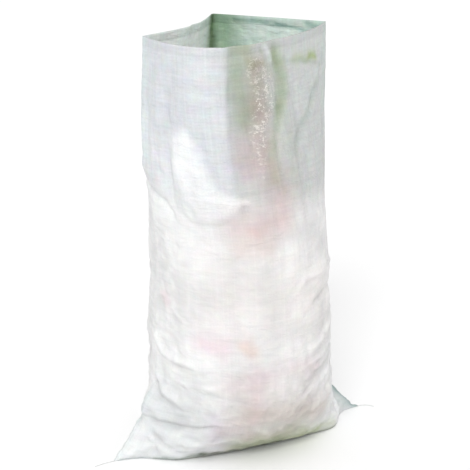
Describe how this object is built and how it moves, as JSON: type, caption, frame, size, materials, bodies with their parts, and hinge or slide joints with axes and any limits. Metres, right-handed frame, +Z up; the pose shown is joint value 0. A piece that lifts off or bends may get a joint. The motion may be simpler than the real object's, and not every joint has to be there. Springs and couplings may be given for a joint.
{
  "type": "rubble sack",
  "caption": "Woven plastic rubble sack standing open, part filled with broken brick and concrete, sewn shut at the bottom with an ear at each end of the seam.",
  "frame": {"origin": "on the floor, under the middle of the sack's box", "axes": "+Z up, +X along the bottom seam towards the picture's right-hand ear, +Y towards the back panel"},
  "size_m": [0.594, 0.3714, 0.76],
  "materials": {
    "woven_fabric": "white woven polypropylene tape, thin, slightly shiny and slightly see-through",
    "stitching_thread": "white spun thread, matte",
    "broken_brick": "rough broken red brick with mortar dust",
    "broken_concrete": "rough broken concrete, dusty",
    "packed_fines": "packed rubble and dust"
  },
  "bodies": {
    "root": {"sack_body": "woven_fabric", "rubble_core": "packed_fines", "brick_piece_01": "broken_brick", "brick_piece_02": "broken_brick", "brick_piece_03": "broken_brick", "brick_piece_04": "broken_brick", "brick_piece_05": "broken_brick", "brick_piece_06": "broken_brick", "brick_piece_07": "broken_brick", "brick_piece_08": "broken_brick", "brick_piece_09": "broken_brick", "concrete_piece_01": "broken_concrete", "concrete_piece_02": "broken_concrete", "concrete_piece_03": "broken_concrete", "concrete_piece_04": "broken_concrete", "concrete_piece_05": "broken_concrete", "concrete_piece_06": "broken_concrete", "bottom_stitching": "stitching_thread", "thread_tail_left": "stitching_thread", "thread_tail_right": "stitching_thread"}
  },
  "joints": []
}
